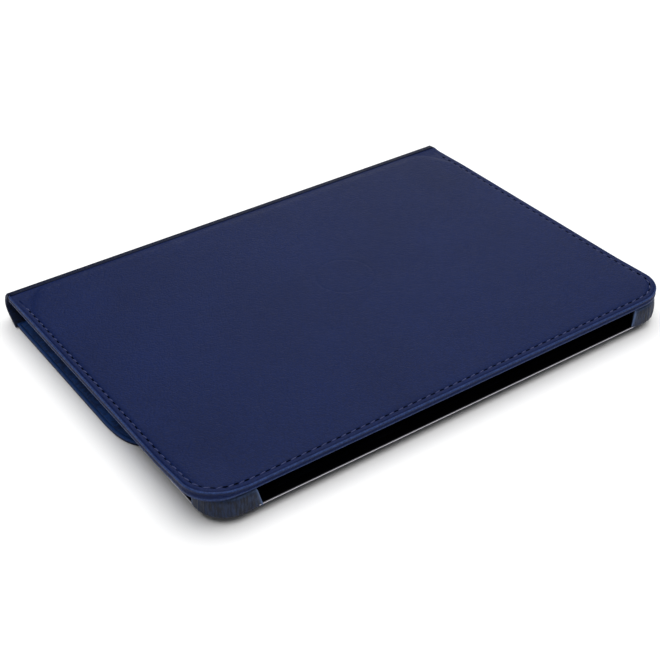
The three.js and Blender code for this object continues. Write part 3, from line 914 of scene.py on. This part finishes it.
def add_clip_skin(name, node, sign_x, sign_y, seed):
    section = outside_section + inside_section
    _, travel, bend_start, bend_end = corner_path(0)
    loops = [np.zeros((len(section), 3)) for _ in travel]
    total = travel[-1]
    rng = np.random.default_rng(seed)
    shifts = rng.uniform(0, math.tau, 8)
    pull = smoothstep(travel, bend_start - 5, bend_start + 4)
    pull = pull * (1 - smoothstep(travel, bend_end - 3, bend_end + 2))
    wear_and_highlight = np.zeros((len(travel), len(section)))
    for k, (inset, z) in enumerate(section):
        spot, _, _, _ = corner_path(inset)
        out, _, _, _ = corner_path(inset - 1)
        out = out - spot
        outer = k < len(outside_section)
        lean = 2.4 * (14.25 - z) / 10.25
        end_shift = -lean * np.clip(1 - travel / 5, 0, 1)
        height = np.full(len(travel), float(z))
        if outer:
            tall = math.exp(-((z - 8.0) / 4.6) ** 2)
            crease = sum(np.sin(travel * f + shifts[i] + 0.12 * z * (1 + 0.3 * i)) * a
                         for i, (f, a) in enumerate(((2.1, 0.10), (3.7, 0.07), (5.9, 0.045), (8.3, 0.03))))
            spot = spot + out * (crease * tall * (0.3 + 0.7 * pull))[:, None]
            sag = 0.10 * np.sin(travel * 1.7 + shifts[6]) * pull
            height = height + np.where(z > 10, sag, 0) * math.exp(-((z - 13) / 1.6) ** 2)
            # Lighter ends and a lighter line along the shoulder: partly rubbed leather, partly painted
            # highlight.
            ends = np.exp(-np.minimum(travel, total - travel) / 0.5)
            wear_and_highlight[:, k] = np.clip(ends * 0.9 + 0.3 * math.exp(-((z - 13.4) / 0.5) ** 2), 0, 1)
        for index in range(len(travel)):
            ahead = spot[min(index + 1, len(travel) - 1)] - spot[max(index - 1, 0)]
            ahead = ahead / np.linalg.norm(ahead)
            here = spot[index] + ahead * end_shift[index]
            loops[index][k] = (SWIVEL_X + sign_x * here[0], SWIVEL_Y + sign_y * here[1], height[index])
    make_strip(name, loops, clip_skin, "tray", wear_and_highlight.reshape(-1), node)


corner_signs = {"front_left": (-1, -1), "front_right": (1, -1), "rear_left": (-1, 1), "rear_right": (1, 1)}
for seed, (corner, (sign_x, sign_y)) in enumerate(corner_signs.items()):
    add_clip_skin("clip_skin_" + corner, "clip_wrap_" + corner, sign_x, sign_y, 20 + seed)

# %% [markdown]
# Past the end of each clip's short arm the same skin runs on as a narrow strap. It slopes from
# the lip down to the tray's edge and leaves a three-cornered opening below it.

# %% The straps beside the clips
def add_strap(name, sign_x, sign_y):
    side = TRAY["half"] + 0.35
    end = TRAY["deep"] - ARM_Y
    path = bezier((end + 0.6, 12.6), (end - 3.4, 12.0), (end - 9.5, 6.1), 26)
    loops = []
    for index, (y, z) in enumerate(path):
        share = index / (len(path) - 1)
        inward = 0.9 * math.sin(math.pi * share) + 0.4
        wide = 1.2 - 0.3 * share
        loop = []
        for turn in np.linspace(0, math.tau, 14, endpoint=False):
            x = side - inward + 0.3 * math.cos(turn)
            loop.append((SWIVEL_X + sign_x * x, SWIVEL_Y + sign_y * y, z + wide * math.sin(turn)))
        loops.append(np.array(loop))
    make_strip(name, loops, clip_skin, "tray", np.full(len(path) * 14, 0.9), None)


for corner, (sign_x, sign_y) in corner_signs.items():
    add_strap("clip_strap_" + corner, sign_x, sign_y)

# %% [markdown]
# The tray is a thin moulded sheet. Its edge between the clips is rounded and polished, and
# that thin edge is what catches the light along the open front of the case. A thin near-white
# line is painted along its rounded face as a painted highlight.

# %% The tray's polished edge
band_section = [
    (0.03, 5.58), (-0.10, 5.62), (-0.24, 5.56), (-0.34, 5.42), (-0.38, 5.22), (-0.38, 5.02), (-0.33, 4.84),
    (-0.22, 4.70), (-0.08, 4.62), (0.03, 4.62),
]


def add_edge_band(name, start_point, end_point, outward_sign, along_x):
    steps = 60
    loops = []
    for share in np.linspace(0, 1, steps):
        place = start_point + (end_point - start_point) * share
        loop = []
        for inset, z in band_section:
            if along_x:
                loop.append((SWIVEL_X + place, SWIVEL_Y + outward_sign * (TRAY["deep"] - inset), z))
            else:
                loop.append((SWIVEL_X + outward_sign * (TRAY["half"] - inset), SWIVEL_Y + place, z))
        loops.append(np.array(loop))
    # A painted highlight: a thin near-white line along the rounded face of the edge.
    painted_highlight = [math.exp(-((z - 4.98) / 0.32) ** 2) for _, z in band_section]
    make_strip(name, loops, edge_plastic, "tray", np.tile(painted_highlight, steps), None)


span_x = TRAY["half"] - ARM_X - 0.1
span_y = TRAY["deep"] - ARM_Y - 0.1
add_edge_band("tray_edge_front", -span_x, span_x, -1, True)
add_edge_band("tray_edge_rear", -span_x, span_x, 1, True)
add_edge_band("tray_edge_left", -span_y, span_y, -1, False)
add_edge_band("tray_edge_right", -span_y, span_y, 1, False)

# %% [markdown]
# Three soft ridges are sewn inside the cover, to stop the tablet's lower edge when the case
# stands up. They repeat, so a second tree places them: a rounded bar on each point of a line.

# %% The stand ridges from a tree
def ridge_tree():
    tree = bpy.data.node_groups.new("bars_in_a_row", "GeometryNodeTree")
    g = Graph(tree)
    tree_input(tree, "Places", "NodeSocketGeometry", None)
    for name, value in (("Length", 180.0), ("Width", 6.0), ("Height", 1.6)):
        tree_input(tree, name, "NodeSocketFloat", value)
    tree_input(tree, "Cloth", "NodeSocketMaterial", None)
    tree.interface.new_socket("Bars", in_out="OUTPUT", socket_type="NodeSocketGeometry")
    given = tree.nodes.new("NodeGroupInput")
    take = {socket.name: Wire(g, socket) for socket in given.outputs if socket.name}
    ball = g.node("GeometryNodeMeshUVSphere", {"Segments": 48, "Rings": 24, "Radius": 1.0})
    place = g.node("GeometryNodeInputPosition")
    parts = g.node("ShaderNodeSeparateXYZ", [place])
    x, y, z = (Wire(g, parts.socket.node.outputs[i]) for i in range(3))
    side = g.node("ShaderNodeMath", [x], operation="SIGN")
    reach_x = take["Length"] * (0.5 * MM) - take["Width"] * (0.5 * MM)
    wide = take["Width"] * (0.5 * MM)
    low = g.node("ShaderNodeMath", [z, 0.0], operation="MINIMUM")
    spot = g.node("ShaderNodeCombineXYZ", [x * wide + side * reach_x, y * wide, low * take["Height"] * MM])
    bar = g.node("GeometryNodeSetPosition", {"Geometry": ball, "Position": spot})
    smooth = g.node("GeometryNodeSetShadeSmooth", {"Geometry": bar})
    points = g.node("GeometryNodeMeshToPoints", {"Mesh": take["Places"]})
    copies = g.node("GeometryNodeInstanceOnPoints", {"Points": points, "Instance": smooth})
    real = g.node("GeometryNodeRealizeInstances", {"Geometry": copies})
    cloth = g.node("GeometryNodeSetMaterial", {"Geometry": real, "Material": take["Cloth"]})
    g.node("NodeGroupOutput", [cloth])
    return tree


ridge_names = [f"stand_ridge_{i}" for i in (1, 2, 3)]
ridge_rows = [(0.0, float(reach(n)[0][1] + reach(n)[1][1]) / 2, float(reach(n)[1][2])) for n in ridge_names]
ridge_low, ridge_high = reach("stand_ridge_1")
ridge_sizes = {"Length": float(ridge_high[0] - ridge_low[0]), "Width": float(ridge_high[1] - ridge_low[1]),
               "Height": float(ridge_high[2] - ridge_low[2]), "Cloth": blue_suede}
ridges = run_tree("stand_ridges", ridge_rows, ridge_tree(), ridge_sizes, "front_cover")
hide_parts(*ridge_names)

# %% [markdown]
# What is flat or hidden keeps the frame's own shape: linings, boards, foam, the tray's plate, the
# turntable and its fasteners. These meshes aren't touched. They only get a finish.

# %% Finish the pieces that keep their own shape
def give_finish(names, material):
    for name in names:
        shape = nodes[name].data
        shape.materials.clear()
        shape.materials.append(material)


give_finish(["back_lining", "cover_lining"], blue_suede)
give_finish(["tray_lining"], tray_cloth)
# The tray's underside leather gets the darker navy, as painted shade.
give_finish(["tray_leather"], spine_navy_shaded)
give_finish(["tray_shell"], matt_shell)
give_finish(["turntable_hub", "turntable_ring"], black_plastic)
give_finish([n for n in nodes if n.startswith("clip_core")], black_plastic)
give_finish([n for n in nodes if "rivet" in n or "screw" in n or "magnet" in n], steel)
give_finish(["back_board_turntable", "back_board_spine", "cover_board"], board)
give_finish(["cover_foam"], foam)
print("finished", len(nodes), "frame pieces")

# %% [markdown]
# The case lies on a plain white floor in a studio. One very large soft lamp hangs above it and
# makes the floor white and the shadows faint. A second, low one stands behind the spine. The
# leather mirrors it at a low angle, so the cover is palest at its far corner and its grain shows.
# The room is much dimmer than the lamps, because a bright one would turn navy to grey.

# %% Floor, room and lamps
def add_floor():
    mesh = bpy.data.meshes.new("floor")
    size = 6.0
    corners = [(-size, -size, -0.0002), (size, -size, -0.0002), (size, size, -0.0002), (-size, size, -0.0002)]
    mesh.from_pydata(corners, [], [(0, 1, 2, 3)])
    floor = bpy.data.objects.new("floor", mesh)
    bpy.context.scene.collection.objects.link(floor)
    g = start("studio_floor")
    soft = g.cloud(600, detail=1)
    tone = g.blend(soft, tint("f4f4f4"), tint("fafafa"))
    mesh.materials.append(finish("studio_floor", tone, 0.9, graph=g, specular_ior_level=0.1))


def add_light(name, place, kind, energy, **settings):
    data = bpy.data.lights.new(name, kind)
    data.energy = energy
    for key, value in settings.items():
        setattr(data, key, value)
    lamp = bpy.data.objects.new(name, data)
    lamp.visible_camera = False
    lamp.location = place
    lamp.rotation_euler = (-Vector(place)).to_track_quat("-Z", "Y").to_euler()
    bpy.context.scene.collection.objects.link(lamp)


def add_room():
    world = bpy.data.worlds.new("white_room")
    world.use_nodes = True
    g = Graph(world.node_tree)
    sky = g.node("ShaderNodeBackground", {"Color": (1.0, 1.0, 1.0, 1.0), "Strength": 0.15})
    g.node("ShaderNodeOutputWorld", {"Surface": sky})
    bpy.context.scene.world = world


add_floor()
add_room()
add_light("wide_softbox", (0.1, 0.0, 1.6), "SUN", 3.4, angle=math.radians(80))
add_light("rear_softbox", (1.0, 1.2, 0.62), "AREA", 4.0, size=1.2)
bpy.context.scene.view_settings.view_transform = "Standard"
